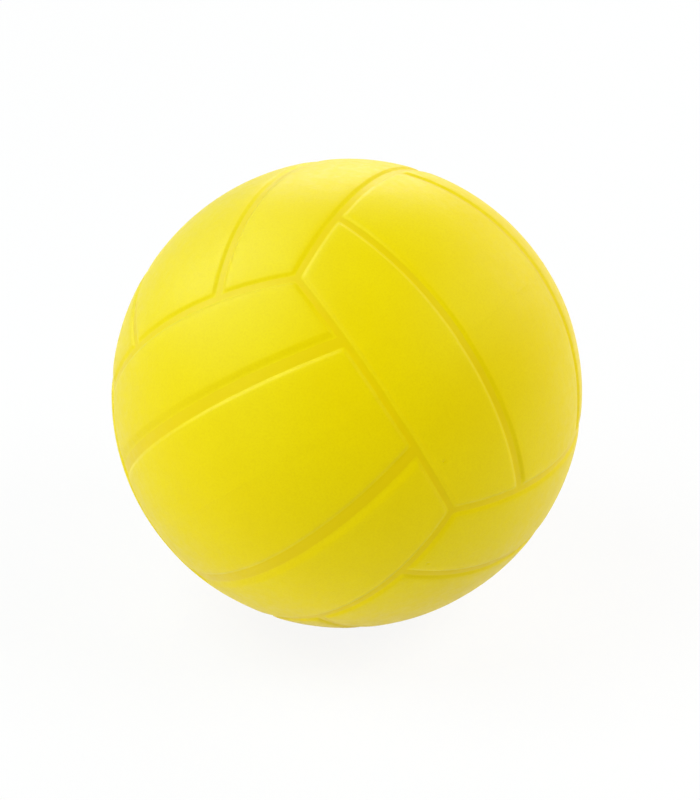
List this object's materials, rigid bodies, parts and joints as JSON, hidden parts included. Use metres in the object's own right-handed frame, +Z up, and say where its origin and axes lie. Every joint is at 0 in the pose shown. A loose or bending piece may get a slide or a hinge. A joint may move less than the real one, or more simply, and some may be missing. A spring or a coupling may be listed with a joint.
{
  "type": "foam volleyball",
  "caption": "Light moulded foam volleyball: a foam core under a dense skin with raised panels parted by grooves, for serving, catching and soft indoor play.",
  "frame": {"origin": "centre of the ball", "axes": "+Z up as the ball lies, the front face of three strips towards -Y, and the moulding axis, through the middles of the top and bottom faces, tipped 40 degrees from +Z towards -X"},
  "size_m": [0.21, 0.21, 0.21],
  "materials": {
    "cellular_foam": "matte",
    "groove_skin": "satin",
    "panel_skin": "satin"
  },
  "bodies": {
    "root": {"foam_core": "cellular_foam", "base_skin": "groove_skin", "panel_front_lower": "panel_skin", "panel_front_middle": "panel_skin", "panel_front_upper": "panel_skin", "panel_back_lower": "panel_skin", "panel_back_middle": "panel_skin", "panel_back_upper": "panel_skin", "panel_right_rear": "panel_skin", "panel_right_middle": "panel_skin", "panel_right_front": "panel_skin", "panel_left_rear": "panel_skin", "panel_left_middle": "panel_skin", "panel_left_front": "panel_skin", "panel_top_left": "panel_skin", "panel_top_middle": "panel_skin", "panel_top_right": "panel_skin", "panel_bottom_left": "panel_skin", "panel_bottom_middle": "panel_skin", "panel_bottom_right": "panel_skin"}
  },
  "joints": []
}
